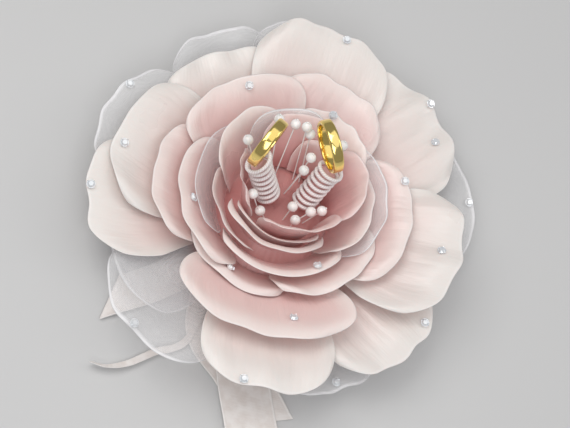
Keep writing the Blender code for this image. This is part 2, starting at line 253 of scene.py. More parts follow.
@dataclass(frozen=True)
class SatinFinish:
    """Polyester satin, pinker towards a petal's base in its own tone and a little darker there in painted
    shade, and paler at its rim, partly its own paler heat-sealed edge and partly a painted highlight.

    Its coordinates run from 0 to 1 across and along the piece, and in centimetres of cloth.
    """

    name: str
    slot: str
    deep: tuple[float, float, float, float]
    middle: tuple[float, float, float, float]
    pale: tuple[float, float, float, float]
    fade: tuple[float, float] = (0.15, 0.95)
    roughness: float = 0.29
    # how white the rim is: the paler heat-sealed edge and a painted highlight
    seal_and_highlight: float = 0.28
    threads_per_cm: float = 36.0

    def make(self) -> bpy.types.Material:
        """Build the material.

        Returns:
            The material.
        """
        tree = ShaderTree(self.name)
        across, along, _ = tree.uv(SURFACE_UV)
        cloth_x, cloth_y, cloth = tree.uv(CLOTH_UV)
        cloud = tree.noise(38.0, 3.0)
        # towards the base: the satin's own deeper pink, a little darker there in painted shade
        rise = (along + (cloud - 0.5) * 0.22).ramp(*self.fade)
        body = tree.blend(rise, self.deep, self.middle)
        edge = (across * 2.0 - 1.0).size().larger(along)
        # paler towards the edges: the satin's own paler edge tone with a painted highlight band along the rim
        pale_edge_and_highlight = (edge + (cloud - 0.5) * 0.10).ramp(0.62, 1.0)
        edge_paled_colour = tree.blend(pale_edge_and_highlight * 0.85, body, self.pale)
        # near-white rim: the paler heat-sealed edge with a painted highlight; the rim is also made rougher
        seal_and_highlight = edge.ramp(0.965, 0.99) * self.seal_and_highlight
        tree.shade(Base_Color=tree.blend(seal_and_highlight, edge_paled_colour, rgb(0.97, 0.93, 0.92)))
        floats = (cloth_x * (self.threads_per_cm * math.tau)).sine() * 0.5 + 0.5
        picks = (cloth_y * (self.threads_per_cm * 0.5 * math.tau) + cloth_x * 40.0).sine() * 0.5 + 0.5
        pull = tree.noise(1.5, 2.0, cloth, (2.4, 0.40, 1.0))
        tree.shade(Roughness=cloud * 0.10 + seal_and_highlight * 0.40 + (self.roughness - 0.05))
        tree.bump(floats * 0.08 + picks * 0.05 + pull * 4.0, 0.10 * MM, 0.7)
        tree.shade(Sheen_Weight=0.20, Sheen_Roughness=0.35, Sheen_Tint=rgb(1.0, 0.90, 0.90),
                   Specular_IOR_Level=0.75, Anisotropic=0.5, Subsurface_Weight=0.12,
                   Subsurface_Radius=(1.0, 0.55, 0.5), Subsurface_Scale=1.2 * MM)
        return tree.material


@dataclass(frozen=True)
class OrganzaFinish:
    """Sheer white organza: see-through between its threads, with watered lines and a fused rim."""

    name: str = "white_organza"
    slot: str = "organza"
    colour: tuple[float, float, float, float] = (0.93, 0.92, 0.93, 1.0)
    cover: float = 0.17
    threads_per_cm: float = 14.0
    waves_per_cm: float = 3.2

    def make(self) -> bpy.types.Material:
        """Build the material.

        Returns:
            The material.
        """
        tree = ShaderTree(self.name)
        across, along, _ = tree.uv(SURFACE_UV)
        cloth_x, cloth_y, cloth = tree.uv(CLOTH_UV)
        edge = (across * 2.0 - 1.0).size().larger(along)
        rim = edge.ramp(0.955, 0.985)
        warp = (cloth_x * (self.threads_per_cm * math.tau)).sine() * 0.5 + 0.5
        weft = (cloth_y * (self.threads_per_cm * math.tau)).sine() * 0.5 + 0.5
        weave = warp.larger(weft)
        drift = tree.noise(0.9, 1.0, cloth)
        distance = (cloth_x * cloth_x + cloth_y * cloth_y * 1.4) ** 0.5
        lines = ((distance + drift * 1.6) * (self.waves_per_cm * math.tau)).sine() * 0.5 + 0.5
        gather = 1.0 - along.ramp(0.0, 0.55)
        opacity = weave * 0.05 + lines * 0.035 + rim * 0.55 + gather * 0.10 + self.cover
        tree.shade(Base_Color=tree.blend(lines * 0.35, self.colour, rgb(0.96, 0.97, 0.98)))
        tree.shade(Alpha=opacity, Roughness=0.42 - rim * 0.16)
        tree.bump(weave + rim * 3.0, 0.05 * MM, 0.5)
        tree.shade(Sheen_Weight=0.5, Sheen_Roughness=0.3, Specular_IOR_Level=0.5)
        return tree.material


@dataclass(frozen=True)
class RibbonFinish:
    """Off-white satin ribbon, with close crosswise ribs and a woven selvedge."""

    name: str = "satin_ribbon"
    slot: str = "ribbon"

    def make(self) -> bpy.types.Material:
        """Build the material.

        Returns:
            The material.
        """
        tree = ShaderTree(self.name)
        across, _, _ = tree.uv(SURFACE_UV)
        _, cloth_y, cloth = tree.uv(CLOTH_UV)
        cloud = tree.noise(2.0, 3.0, cloth)
        selvedge = (across * 2.0 - 1.0).size().ramp(0.90, 0.95)
        body = tree.blend(cloud.ramp(0.3, 0.7), rgb(0.80, 0.74, 0.70), rgb(0.90, 0.86, 0.83))
        tree.shade(Base_Color=tree.blend(selvedge * 0.6, body, rgb(0.95, 0.92, 0.90)))
        ribs = (cloth_y * (18.0 * math.tau)).sine() * 0.5 + 0.5
        crease = tree.noise(1.4, 2.0, cloth, (0.5, 2.4, 1.0))
        tree.shade(Roughness=cloud * 0.12 + selvedge * 0.18 + 0.30)
        tree.bump(ribs * 0.2 + selvedge * 1.2 + crease * 2.0, 0.12 * MM, 0.7)
        tree.shade(Sheen_Weight=0.3, Sheen_Roughness=0.35, Anisotropic=0.5)
        return tree.material


@dataclass(frozen=True)
class CordFinish:
    """White rayon cord: two plies laid in a steep twist, with a soft lustre."""

    name: str = "white_cord"
    slot: str = "white_cord"
    twists: float = 260.0

    def make(self) -> bpy.types.Material:
        """Build the material.

        Returns:
            The material.
        """
        tree = ShaderTree(self.name)
        around, along, _ = tree.uv(SURFACE_UV)
        lay = ((around * 2.0 + along * self.twists) * math.tau).sine() * 0.5 + 0.5
        fuzz = tree.noise(1500.0, 2.0)
        tree.shade(Base_Color=tree.blend(lay.ramp(0.0, 0.6), rgb(0.86, 0.75, 0.74), rgb(0.97, 0.93, 0.92)))
        tree.shade(Roughness=fuzz * 0.16 + 0.32)
        tree.bump(lay * 1.6 + fuzz * 0.6, 0.05 * MM, 0.7)
        tree.shade(Sheen_Weight=0.5, Sheen_Roughness=0.4)
        return tree.material


@dataclass(frozen=True)
class GoldFinish:
    """Polished yellow gold with faint polishing lines."""

    name: str = "yellow_gold"
    slot: str = "gold"

    def make(self) -> bpy.types.Material:
        """Build the material.

        Returns:
            The material.
        """
        tree = ShaderTree(self.name)
        tint = tree.noise(120.0, 2.0)
        tree.shade(Base_Color=tree.blend(tint, rgb(0.93, 0.67, 0.17), rgb(1.0, 0.82, 0.33)), Metallic=1.0)
        lines = tree.noise(900.0, 2.0, None, (1.0, 1.0, 0.08))
        tree.shade(Roughness=lines * 0.08 + 0.09)
        tree.bump(lines, 0.001 * MM, 0.25)
        return tree.material


@dataclass(frozen=True)
class PearlFinish:
    """Pearl bead: white with faint rose and green clouds under a glossy coat."""

    name: str = "pearl_bead"
    slot: str = "pearl"

    def make(self) -> bpy.types.Material:
        """Build the material.

        Returns:
            The material.
        """
        tree = ShaderTree(self.name)
        first = tree.noise(230.0, 2.0).ramp(0.35, 0.65)
        second = tree.noise(310.0, 1.0, None, (1.0, 1.3, 0.8)).ramp(0.5, 0.75)
        rosy = tree.blend(first, rgb(0.96, 0.90, 0.88), rgb(0.98, 0.96, 0.94))
        tree.shade(Base_Color=tree.blend(second * 0.25, rosy, rgb(0.82, 0.92, 0.86)))
        tree.shade(Roughness=first * 0.08 + 0.20)
        tree.shade(Coat_Weight=0.7, Coat_Roughness=0.06, Subsurface_Weight=0.25,
                   Subsurface_Radius=(1.0, 0.8, 0.75), Subsurface_Scale=1.0 * MM)
        return tree.material


@dataclass(frozen=True)
class PlainFinish:
    """A finish of one kind of stuff with a little cloudiness: crystal, silver, wire, felt or thread."""

    name: str
    slot: str
    dark: tuple[float, float, float, float]
    light: tuple[float, float, float, float]
    roughness: float
    metallic: float = 0.0
    grain: float = 200.0
    depth: float = 0.02 * MM
    sheen: float = 0.0
    coat: float = 0.0

    def make(self) -> bpy.types.Material:
        """Build the material.

        Returns:
            The material.
        """
        tree = ShaderTree(self.name)
        cloud = tree.noise(self.grain, 3.0)
        tree.shade(Base_Color=tree.blend(cloud.ramp(0.3, 0.7), self.dark, self.light), Metallic=self.metallic)
        tree.shade(Roughness=(cloud - 0.5) * 0.1 + self.roughness)
        tree.bump(cloud, self.depth, 0.6)
        tree.shade(Sheen_Weight=self.sheen, Coat_Weight=self.coat, Coat_Roughness=0.05)
        return tree.material


class Finish(Protocol):
    """Any finish: it has a slot of the record, and makes its material."""

    slot: str

    def make(self) -> bpy.types.Material:
        """Build the material."""


class Fabric(Enum):
    """What a petal is cut from."""

    ORGANZA = "organza"
    PALE = "satin_pale"
    PINK = "satin_pink"
    DEEP = "satin_deep"


@dataclass
class Finishes:
    """Every finish of the object, each made once and found by name."""

    made: dict[str, tuple[bpy.types.Material, str]] = field(default_factory=dict)

    def add(self, key: str, finish: Finish) -> None:
        """Make a finish and keep it under a key."""
        self.made[key] = (finish.make(), finish.slot)

    def dress(self, piece: bpy.types.Object, *keys: str) -> None:
        """Give a piece its materials.

        Args:
            piece: The piece.
            keys: The finishes' keys, in the order of the mesh's material numbers.
        """
        piece.data.materials.clear()
        for key in keys:
            piece.data.materials.append(self.made[key][0])


def make_finishes() -> Finishes:
    """Make every finish of the object.

    Returns:
        The finishes, by key.
    """
    finishes = Finishes()
    # on the petal satins the deep colour is the satin's own pinker tone with a little painted shade at the
    # base; the pale edges and white rim are partly painted highlight
    finishes.add("satin_pale", SatinFinish(
        "satin_pale_pink", "satin_pale", deep=rgb(0.80, 0.58, 0.55), middle=rgb(0.82, 0.72, 0.68),
        pale=rgb(0.84, 0.79, 0.75), fade=(0.10, 0.80)))
    finishes.add("satin_pink", SatinFinish(
        "satin_dusty_pink", "satin_pink", deep=rgb(0.80, 0.50, 0.48), middle=rgb(0.84, 0.62, 0.59),
        pale=rgb(0.88, 0.77, 0.73), fade=(0.05, 0.75)))
    finishes.add("satin_deep", SatinFinish(
        "satin_deep_pink", "satin_deep", deep=rgb(0.68, 0.30, 0.29), middle=rgb(0.81, 0.50, 0.48),
        pale=rgb(0.87, 0.68, 0.65), fade=(0.05, 0.80)))
    finishes.add("satin_base", SatinFinish(
        "satin_rose_pink", "satin_pink", deep=rgb(0.80, 0.50, 0.48), middle=rgb(0.74, 0.40, 0.38),
        pale=rgb(0.58, 0.23, 0.22), fade=(0.2, 0.6), roughness=0.40, seal_and_highlight=0.0))
    finishes.add("satin_stem", SatinFinish(
        "satin_stem_pink", "satin_deep", deep=rgb(0.62, 0.27, 0.26), middle=rgb(0.76, 0.44, 0.42),
        pale=rgb(0.76, 0.44, 0.42), fade=(0.2, 0.9), roughness=0.38, seal_and_highlight=0.0))
    finishes.add("organza", OrganzaFinish())
    finishes.add("ribbon", RibbonFinish())
    finishes.add("cord", CordFinish())
    finishes.add("gold", GoldFinish())
    finishes.add("pearl", PearlFinish())
    finishes.add("wire", PlainFinish(
        "stamen_wire", "pearl", dark=rgb(0.70, 0.62, 0.58), light=rgb(0.88, 0.82, 0.80), roughness=0.45))
    finishes.add("crystal", PlainFinish(
        "foiled_crystal", "rhinestone", dark=rgb(0.84, 0.88, 0.92), light=rgb(0.98, 0.99, 1.0),
        roughness=0.10, metallic=0.35, grain=300.0, depth=0.0, coat=1.0))
    finishes.add("silver", PlainFinish(
        "silver_cup", "rhinestone", dark=rgb(0.55, 0.56, 0.57), light=rgb(0.80, 0.81, 0.82),
        roughness=0.22, metallic=1.0, grain=700.0, depth=0.01 * MM))
    finishes.add("felt", PlainFinish(
        "backing_felt", "felt", dark=rgb(0.62, 0.52, 0.52), light=rgb(0.82, 0.74, 0.73),
        roughness=0.92, grain=900.0, depth=0.25 * MM, sheen=0.6))
    finishes.add("thread", PlainFinish(
        "sewing_thread", "satin_pink", dark=rgb(0.62, 0.42, 0.42), light=rgb(0.80, 0.60, 0.60),
        roughness=0.6, grain=2500.0, depth=0.03 * MM, sheen=0.3))
    return finishes


# ---------------------------------------------------------------- mesh helpers


Placer = Callable[[np.ndarray, np.ndarray], np.ndarray]


def finish_mesh(name: str, shape: bmesh.types.BMesh, sharp: float = 40.0) -> bpy.types.Object:
    """Turn a bmesh into an object, smooth apart from its sharp edges.

    Args:
        name: The object's name.
        shape: The mesh, which is freed.
        sharp: Edges that bend more than this many degrees stay sharp.

    Returns:
        The object, at the origin.
    """
    mesh = bpy.data.meshes.new(name)
    shape.to_mesh(mesh)
    shape.free()
    mesh.shade_smooth()
    mesh.set_sharp_from_angle(angle=math.radians(sharp))
    piece = bpy.data.objects.new(name, mesh)
    bpy.context.scene.collection.objects.link(piece)
    return piece


def cloth_grid(columns: int, rows: int, place: Placer, cloth_size: tuple[float, float],
               closed: bool = False) -> bmesh.types.BMesh:
    """Lay a grid over a surface and give it its two UV layers.

    Args:
        columns: Faces across.
        rows: Faces along.
        place: Turns arrays of positions across, -1 to 1, and along, 0 to 1, into points.
        cloth_size: The width and length of the cloth in metres.
        closed: Whether the two sides meet and are merged.

    Returns:
        The mesh.
    """
    shape = bmesh.new()
    bmesh.ops.create_grid(shape, x_segments=columns, y_segments=rows, size=1.0)
    shape.verts.ensure_lookup_table()
    across = np.array([vert.co.x for vert in shape.verts])
    along = np.array([0.5 * (vert.co.y + 1.0) for vert in shape.verts])
    surface = shape.loops.layers.uv.new(SURFACE_UV)
    cloth = shape.loops.layers.uv.new(CLOTH_UV)
    for face in shape.faces:
        for loop in face.loops:
            x, y = across[loop.vert.index], along[loop.vert.index]
            loop[surface].uv = (0.5 * (x + 1.0), y)
            loop[cloth].uv = (50.0 * x * cloth_size[0], 100.0 * y * cloth_size[1])
    for vert, point in zip(shape.verts, place(across, along)):
        vert.co = point
    if closed:
        bmesh.ops.remove_doubles(shape, verts=shape.verts, dist=0.005 * MM)
    return shape


def thicken(piece: bpy.types.Object, thickness: float, levels: int = 1) -> None:
    """Give a sheet its thickness about its middle, and smooth it.

    Args:
        piece: The sheet.
        thickness: Its thickness in metres.
        levels: How many times it is subdivided.
    """
    wall = piece.modifiers.new("thickness", "SOLIDIFY")
    wall.thickness = thickness
    wall.offset = 0.0
    if levels:
        smooth = piece.modifiers.new("smooth", "SUBSURF")
        smooth.levels = levels
        smooth.render_levels = levels


def spin_outline(outline: Sequence[tuple[float, float]], segments: int,
                 closed: bool = False) -> bmesh.types.BMesh:
    """Turn an outline of (radius, height) points about the Z axis.

    Args:
        outline: The points, from the axis back to the axis, or round a closed section.
        segments: Steps of the full turn.
        closed: Whether the section is a closed ring of its own.

    Returns:
        The mesh, with its doubles merged and its normals outwards.
    """
    shape = bmesh.new()
    points = [shape.verts.new((radius, 0.0, height)) for radius, height in outline]
    ends = points[1:] + points[:1] if closed else points[1:]
    edges = [shape.edges.new(pair) for pair in zip(points, ends)]
    bmesh.ops.spin(shape, geom=points + edges, cent=(0, 0, 0), axis=(0, 0, 1), angle=math.tau,
                   steps=segments, use_merge=True, use_duplicate=False)
    bmesh.ops.remove_doubles(shape, verts=shape.verts, dist=0.005 * MM)
    bmesh.ops.recalc_face_normals(shape, faces=shape.faces)
    return shape


def stand(shape: bmesh.types.BMesh, place: Vector, axis: Vector) -> bmesh.types.BMesh:
    """Turn a shape's +Z to an axis and move its origin to a place.

    Args:
        shape: The mesh, which is changed.
        place: Where its origin goes.
        axis: Where its +Z turns to.

    Returns:
        The same mesh.
    """
    turn = UP.rotation_difference(axis).to_matrix().to_4x4()
    shape.transform(Matrix.Translation(place) @ turn)
    return shape


def smoothstep(values: np.ndarray, low: float, high: float) -> np.ndarray:
    """Return 0 below low, 1 above high and a smooth step between."""
    share = np.clip((values - low) / (high - low), 0.0, 1.0)
    return share * share * (3.0 - 2.0 * share)


# ---------------------------------------------------------------- petals


@dataclass(frozen=True)
class LeafFamily:
    """The nested flared sheets on which the petals lie, from 0, outermost, to those that line the heart."""

    last_level: int = 14
    petal_base: float = 0.25 * MM
    disc_thickness: float = 2.5 * MM
    top_radius: float = 14.5 * MM
    edge_radius: float = 35.5 * MM
    edge_height: float = 2.2 * MM
    height: float = 17.2 * MM
    start_pitch: tuple[float, float] = (math.radians(20.0), math.radians(84.0))
    end_pitch: tuple[float, float] = (math.radians(-6.0), math.radians(44.0))
    bend: tuple[float, float] = (60.0 * MM, 30.0 * MM)
    front_lift: float = math.radians(24.0)
    front_azimuth: float = math.radians(-95.0)
    lean: tuple[float, float] = (5.5 * MM, 7.5 * MM)
    lean_rise: float = 26.0 * MM
    slope_share: tuple[float, float] = (0.04, 0.90)
    steps: int = 48

    def cushion_low(self) -> float:
        """Return the height of the cushion's edge."""
        return self.disc_thickness + CLEARANCE + self.edge_height

    def cushion_top(self) -> float:
        """Return the height of the cushion's flat top."""
        return self.disc_thickness + CLEARANCE + self.height

    def slope_point(self, share: float) -> tuple[float, float]:
        """Return the radius and height of a point on the cushion's slope."""
        radius = self.edge_radius + share * (self.top_radius - self.edge_radius)
        return radius, self.cushion_low() + share * (self.cushion_top() - self.cushion_low())

    def lean_shift(self, height: np.ndarray) -> np.ndarray:
        """Return how far the rose leans sideways at each height, as (n, 2)."""
        share = (height / (self.cushion_top() + self.lean_rise)) ** 2
        return np.stack([self.lean[0] * share, self.lean[1] * share], axis=-1)

    def points(self, level: float, azimuth: np.ndarray, travelled: np.ndarray,
               offset: np.ndarray) -> np.ndarray:
        """Return points of a leaf.

        Args:
            level: The leaf.
            azimuth: Each point's direction from the axis.
            travelled: Its distance from the cushion along the leaf.
            offset: Its distance from the leaf, towards the heart.

        Returns:
            The points, as (n, 3).
        """
        share = level / self.last_level
        front = 0.5 + 0.5 * np.cos(azimuth - self.front_azimuth)
        start = self.start_pitch[0] + (self.start_pitch[1] - self.start_pitch[0]) * share ** 0.8
        end = self.end_pitch[0] + (self.end_pitch[1] - self.end_pitch[0]) * share
        end = end + self.front_lift * front * share ** 2
        bend = self.bend[0] + (self.bend[1] - self.bend[0]) * share
        radius, height = self.slope_point(self.slope_share[0] + self.slope_share[1] * share)
        slope = math.atan2(self.cushion_top() - self.cushion_low(), self.edge_radius - self.top_radius)
        stand_off = CLEARANCE + self.petal_base
        radius = np.full_like(azimuth, radius + stand_off * math.sin(slope))
        height = np.full_like(azimuth, height + stand_off * math.cos(slope))
        step = travelled / self.steps
        for index in range(self.steps):
            pitch = end + (start - end) * np.exp(-2.0 * (index + 0.5) * step / bend)
            radius = radius + step * np.cos(pitch)
            height = height + step * np.sin(pitch)
        pitch = end + (start - end) * np.exp(-2.0 * travelled / bend)
        radius = radius - offset * np.sin(pitch)
        height = height + offset * np.cos(pitch)
        flat = np.stack([radius * np.cos(azimuth), radius * np.sin(azimuth)], axis=-1)
        return np.concatenate([flat + self.lean_shift(height), height[:, None]], axis=-1)

    def length_to(self, level: float, azimuth: float, reach: float) -> float:
        """Find how far along a leaf a petal goes to reach a radius.

        Args:
            level: The leaf.
            azimuth: The petal's direction from the axis.
            reach: The radius, before the rose's lean.

        Returns:
            The length from the cushion to that radius.
        """
        shifted = np.linspace(5.0, 90.0, 341) * MM
        points = self.points(level, np.full_like(shifted, azimuth), shifted, np.zeros_like(shifted))
        plan = points[:, :2] - self.lean_shift(points[:, 2])
        return float(np.interp(reach, np.hypot(plan[:, 0], plan[:, 1]), shifted))


@dataclass
class Petal:
    """One heat-sealed petal: cupped in the middle, with its rim turned outwards and a little waved.

    Its azimuth and half span are in degrees, and its reach from the axis in millimetres.
    """

    family: LeafFamily
    name: str
    fabric: Fabric
    level: int
    azimuth: float
    half_span: float
    reach: float
    seed: int
    neck: float = 0.85
    fullness: float = 3.0
    rim_roll: float = 1.0
    grid_step: float = 1.9 * MM
    satin_thickness: float = 0.26 * MM
    organza_thickness: float = 0.18 * MM

    def __post_init__(self) -> None:
        """Draw the petal's own small irregularities, and find its length."""
        draw = random.Random(self.seed)

        def phase() -> float:
            """Draw where a wave starts."""
            return draw.uniform(0.0, math.tau)

        self.middle = math.radians(self.azimuth)
        self.width = math.radians(self.half_span)
        self.length = self.family.length_to(self.level, self.middle, self.reach * MM)
        sheer = self.fabric is Fabric.ORGANZA
        size = self.length / (50.0 * MM)
        curl = 0.8 if sheer else draw.uniform(0.9, 1.7)
        self.rim_curl = curl * MM * min(1.0, 0.45 + size) * self.rim_roll
        self.side_curl = (0.6 if sheer else draw.uniform(0.4, 0.8)) * MM * size
        self.cup = draw.uniform(0.6, 1.2) * MM * size
        self.waves = [(draw.uniform(1.2, 3.4), phase(), draw.uniform(0.35, 0.85) * MM * size)
                      for _ in range(3)]
        self.pleats = (draw.uniform(6.0, 10.0), phase(), draw.uniform(0.08, 0.20) * MM * size)
        self.outline = [(draw.uniform(1.5, 4.5), phase(), draw.uniform(0.004, 0.012)) for _ in range(2)]

    def place(self, across: np.ndarray, along: np.ndarray) -> np.ndarray:
        """Place the petal's points.

        Args:
            across: Positions across the petal, from -1 to 1.
            along: Positions along it, from 0 at its base to 1 at its tip.

        Returns:
            The points, as (n, 3).
        """
        side = across * np.sqrt(1.0 - 0.5 * along * along)
        tip = along * np.sqrt(1.0 - 0.5 * across * across)
        plain = np.hypot(side, tip)
        fuller = (np.abs(side) ** self.fullness + np.abs(tip) ** self.fullness) ** (1.0 / self.fullness)
        fuller = np.maximum(fuller, 1e-9)  # the middle of the base is at nothing from itself
        side, tip = side * plain / fuller, tip * plain / fuller
        side = side * (self.neck + (1.0 - self.neck) * np.minimum(1.0, tip / 0.45))
        uneven = sum(size * np.sin(turns * math.pi * across + phase) for turns, phase, size in self.outline)
        travelled = np.clip(tip, 0.0, 1.0) * self.length * (1.0 + uneven * along)
        azimuth = self.middle + self.width * side
        return self.family.points(self.level, azimuth, travelled, self.relief(across, along))

    def relief(self, across: np.ndarray, along: np.ndarray) -> np.ndarray:
        """Work out how far points stand off the leaf: cup, curled rim, waves and pleats, nothing at the base.

        Args:
            across: Positions across the petal.
            along: Positions along it.

        Returns:
            The distances, positive towards the heart.
        """
        edge = np.maximum(np.abs(across), along)
        curl = self.rim_curl * smoothstep(along, 0.72, 1.06) ** 1.5 * smoothstep(edge, 0.7, 1.0)
        roll = self.side_curl * smoothstep(np.abs(across), 0.62, 1.05) * smoothstep(along, 0.15, 0.7)
        fall = 1.0 - smoothstep(along, 0.6, 1.0)
        cup = self.cup * (1.0 - across ** 2) * smoothstep(along, 0.15, 0.55) * fall
        waves = sum(size * np.sin(turns * math.pi * across + phase) for turns, phase, size in self.waves)
        turns, phase, size = self.pleats
        pleats = size * np.sin(turns * math.pi * across + phase) * smoothstep(along, 0.1, 0.4) * fall
        return waves * smoothstep(along, 0.35, 1.0) + pleats - curl - roll - cup

    def normal(self, across: float, along: float) -> tuple[Vector, Vector]:
        """Find a point of the petal, and the way its upper side faces.

        Args:
            across: The position across the petal.
            along: The position along it.

        Returns:
            The point, and a unit vector off the upper side.
        """
        step = 0.01
        a = np.array([across, across + step, across])
        b = np.array([along, along, along - step])
        here, aside, below = (Vector(point) for point in self.place(a, b))
        facing = (aside - here).cross(here - below).normalized()
        return here, facing if facing.dot(Vector((-here.x, -here.y, 60.0 * MM))) > 0 else -facing

    def flat_size(self) -> tuple[float, float, float]:
        """Measure the cloth that the petal is cut from.

        Returns:
            The width and length in metres, and the area in square metres.
        """
        across, along = np.meshgrid(np.linspace(-1.0, 1.0, 25), np.linspace(0.0, 1.0, 17))
        net = self.place(across.ravel(), along.ravel()).reshape(17, 25, 3)
        width = float(np.linalg.norm(np.diff(net, axis=1), axis=2).sum(axis=1).max())
        sides, lengths = net[:-1, 1:] - net[:-1, :-1], net[1:, :-1] - net[:-1, :-1]
        area = float(np.linalg.norm(np.cross(sides, lengths), axis=2).sum())
        return width, self.length, min(area, width * self.length)

    def build(self, finishes: Finishes) -> bpy.types.Object:
        """Build the petal and put it in its CAD node's place.

        Args:
            finishes: The finishes to dress it with.

        Returns:
            The petal.
        """
        width, length, area = self.flat_size()
        columns = max(20, round(width / self.grid_step))
        rows = max(12, round(length / (2.0 * MM)))
        shape = cloth_grid(columns, rows, self.place, (width, length))
        piece = finish_mesh(f"{self.name}_petal", shape, 80.0)
        thicken(piece, self.organza_thickness if self.fabric is Fabric.ORGANZA else self.satin_thickness)
        finishes.dress(piece, self.fabric.value)
        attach(piece, FLOWER)
        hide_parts(self.name)
        log.info("petal %s: %.0f by %.0f mm", self.name, width / MM, length / MM)
        return piece


@dataclass
class Rose:
    """All the petals, in the order in which they are sewn on."""

    family: LeafFamily
    # name, fabric, leaf, azimuth and half span in degrees, reach from the axis in millimetres
    rows: tuple[tuple[str, Fabric, int, float, float, float], ...] = (
        ("organza_outer_top_left", Fabric.ORGANZA, 0, 101, 27, 83),
        ("organza_outer_left", Fabric.ORGANZA, 0, -160, 30, 68),
        ("organza_outer_bottom_right", Fabric.ORGANZA, 0, -71, 26, 76),
        ("organza_outer_right", Fabric.ORGANZA, 0, 9, 27, 88),
        ("organza_outer_upper_left", Fabric.ORGANZA, 1, 147, 28, 79),
        ("organza_outer_top", Fabric.ORGANZA, 1, 80, 19, 84),
        ("organza_outer_lower_left", Fabric.ORGANZA, 1, -139, 29, 79),
        ("satin_outer_left", Fabric.PALE, 2, 179, 27, 77),
        ("satin_outer_top_left", Fabric.PALE, 2, 109, 27, 69),
        ("satin_outer_upper_right", Fabric.PALE, 2, 33, 30, 82),
        ("satin_outer_bottom_right", Fabric.PALE, 2, -51, 27, 78),
        ("satin_outer_upper_left", Fabric.PALE, 3, 156, 34, 70),
        ("satin_outer_top", Fabric.PALE, 3, 71, 30, 80),
        ("satin_outer_bottom", Fabric.PALE, 3, -98, 28, 79),
        ("satin_outer_lower_right", Fabric.PALE, 4, -21, 32, 74),
        ("satin_mid_bottom", Fabric.PINK, 5, -103, 45, 59),
        ("satin_mid_left", Fabric.PINK, 5, 171, 37, 53),
        ("satin_mid_top", Fabric.PINK, 5, 61, 34, 56),
        ("satin_mid_upper_left", Fabric.PINK, 6, 112, 38, 51),
        ("satin_mid_lower_left", Fabric.PINK, 6, -129, 44, 40),
        ("satin_mid_right", Fabric.PINK, 6, -12, 43, 51),
        ("satin_mid_lower_right", Fabric.PINK, 7, -57, 46, 41),
        ("satin_inner_far_left", Fabric.PINK, 7, -176, 51, 43),
        ("organza_collar_left", Fabric.ORGANZA, 8, 160, 50, 37),
        ("organza_collar_right", Fabric.ORGANZA, 8, 0, 48, 40),
        ("satin_inner_front_low", Fabric.PINK, 9, -96, 60, 33),
        ("satin_inner_front", Fabric.PINK, 12, -112, 68, 24),
        ("satin_inner_right", Fabric.PINK, 10, -15, 46, 33),
        ("satin_inner_left", Fabric.PINK, 10, -165, 46, 30),
        ("satin_inner_back_left", Fabric.PINK, 11, 130, 42, 34),
        ("satin_inner_back_right", Fabric.PINK, 12, 50, 48, 32),
        ("satin_inner_front_high", Fabric.PINK, 13, -112, 64, 21.5),
        ("organza_heart_back", Fabric.ORGANZA, 13, 95, 48, 29),
        ("satin_heart_right", Fabric.DEEP, 13, 2, 43, 27),
        ("satin_heart_back", Fabric.DEEP, 14, 80, 51, 26),
        ("satin_heart_left", Fabric.DEEP, 14, 175, 40, 23),
        ("satin_heart_front", Fabric.DEEP, 14, -84, 56, 21.5),
        ("satin_heart_fold", Fabric.DEEP, 15, 48, 36, 20),
    )
    square: tuple[str, ...] = ("satin_outer_top_left", "satin_mid_bottom", "satin_mid_upper_left")
    rolled: tuple[str, ...] = ("satin_mid_lower_left", "satin_mid_lower_right", "satin_inner_front_low",
                               "satin_inner_front", "satin_inner_front_high", "satin_heart_front")
    square_fullness: float = 5.5
    full_roll: float = 2.2

    def __post_init__(self) -> None:
        """Lay out the petals, some with squarer corners, and some with their rims rolled well over."""
        self.petals = {}
        for index, row in enumerate(self.rows):
            petal = Petal(self.family, *row, seed=index)
            if petal.name in self.square:
                petal = replace(petal, fullness=self.square_fullness)
            if petal.name in self.rolled:
                petal = replace(petal, rim_roll=self.full_roll)
            self.petals[petal.name] = petal

    def build(self, finishes: Finishes) -> None:
        """Build every petal."""
        for petal in self.petals.values():
            petal.build(finishes)


# ---------------------------------------------------------------- trimmings on the petals


